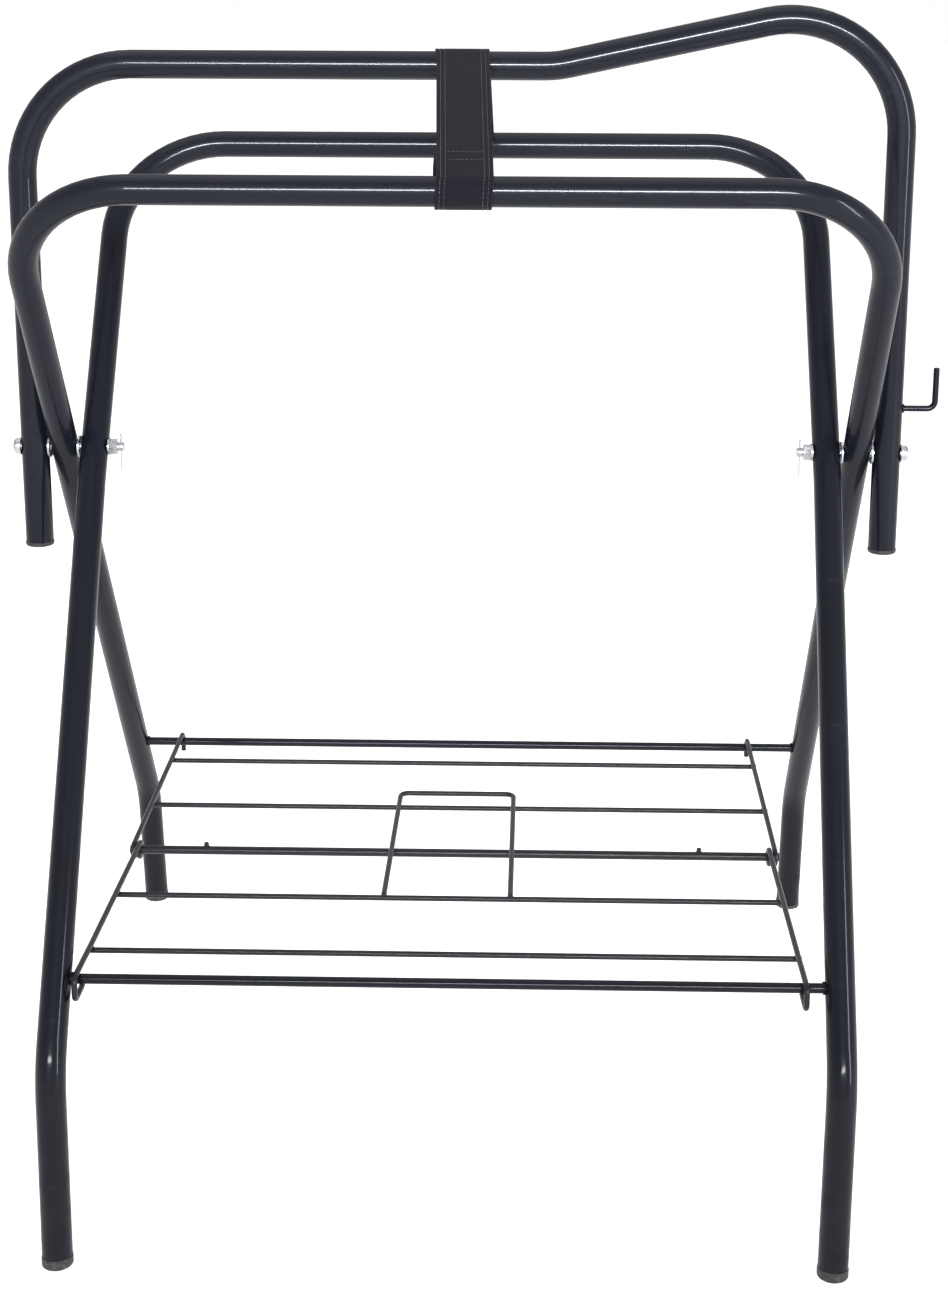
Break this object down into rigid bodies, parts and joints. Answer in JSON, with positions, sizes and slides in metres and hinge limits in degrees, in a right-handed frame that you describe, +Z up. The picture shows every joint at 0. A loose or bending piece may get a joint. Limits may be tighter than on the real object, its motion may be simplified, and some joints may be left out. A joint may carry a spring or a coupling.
{
  "type": "folding saddle rack",
  "caption": "Free-standing folding saddle rack: a raised saddle bar and crossed tube legs on pivot bolts, a folding wire shelf, a webbing strap and a bridle hook.",
  "frame": {"origin": "on the floor, under the middle of the overall box", "axes": "+X along the saddle bar towards its raised end and the bridle hook, +Y from the front of the rack to the back, +Z up"},
  "size_m": [0.8388, 0.709, 1.007],
  "materials": {
    "frame_powder_coat": "gloss black powder coat on bent steel tube",
    "wire_coat": "satin black coat on steel wire and rod",
    "zinc_steel": "bright zinc plate",
    "black_plastic": "moulded black plastic",
    "strap_webbing": "woven black polypropylene webbing"
  },
  "bodies": {
    "saddle_frame": {"saddle_bar_tube": "frame_powder_coat", "saddle_plug_left": "black_plastic", "saddle_plug_right": "black_plastic", "bridle_hook": "wire_coat", "pivot_bolts": "zinc_steel", "pivot_nuts": "zinc_steel", "head_washers": "zinc_steel", "nut_washers": "zinc_steel", "outer_spacer_washers": "zinc_steel", "inner_spacer_washers": "zinc_steel", "split_pins": "zinc_steel", "strap_saddle_wrap": "strap_webbing", "strap_front_span": "strap_webbing", "strap_rear_span": "strap_webbing"},
    "outer_legs": {"outer_leg_tube": "frame_powder_coat", "rear_foot_cap_left": "black_plastic", "rear_foot_cap_right": "black_plastic", "rear_crossbar": "frame_powder_coat", "strap_front_loop": "strap_webbing"},
    "inner_legs": {"inner_leg_tube": "frame_powder_coat", "front_foot_cap_left": "black_plastic", "front_foot_cap_right": "black_plastic", "front_crossbar": "frame_powder_coat", "strap_rear_loop": "strap_webbing"},
    "front_shelf": {"front_side_wire_left": "wire_coat", "front_side_wire_right": "wire_coat", "front_outer_wire": "wire_coat", "front_inner_wire": "wire_coat", "shelf_hinge_rod": "wire_coat", "hinge_rod_stops": "wire_coat", "shelf_handle": "wire_coat"},
    "rear_shelf": {"rear_side_wire_left": "wire_coat", "rear_side_wire_right": "wire_coat", "rear_outer_wire": "wire_coat", "rear_inner_wire": "wire_coat"}
  },
  "joints": [
    {"name": "outer_leg_fold", "type": "hinge", "parent": "saddle_frame", "child": "outer_legs", "pos_m": [-0.01238, -0.00552, 0.61], "axis": [-1, 0, 0], "range_deg": [0, 30.6], "deforming": ["strap_front_span"]},
    {"name": "inner_leg_fold", "type": "hinge", "parent": "saddle_frame", "child": "inner_legs", "pos_m": [-0.01238, -0.00552, 0.61], "axis": [1, 0, 0], "range_deg": [0, 30.6], "deforming": ["strap_rear_span"]},
    {"name": "front_shelf_fold", "type": "hinge", "parent": "inner_legs", "child": "front_shelf", "pos_m": [-0.01238, -0.2748, 0.21967], "axis": [1, 0, 0], "range_deg": [0, 53.52]},
    {"name": "shelf_centre_fold", "type": "hinge", "parent": "front_shelf", "child": "rear_shelf", "pos_m": [-0.01238, -0.00552, 0.21417], "axis": [-1, 0, 0], "range_deg": [0, 168.24]}
  ],
  "couplings": [
    {"joint": "inner_leg_fold", "follows": "outer_leg_fold", "ratio": 1},
    {"joint": "front_shelf_fold", "follows": "outer_leg_fold", "ratio": 1.7489},
    {"joint": "shelf_centre_fold", "follows": "outer_leg_fold", "ratio": 5.4977}
  ]
}
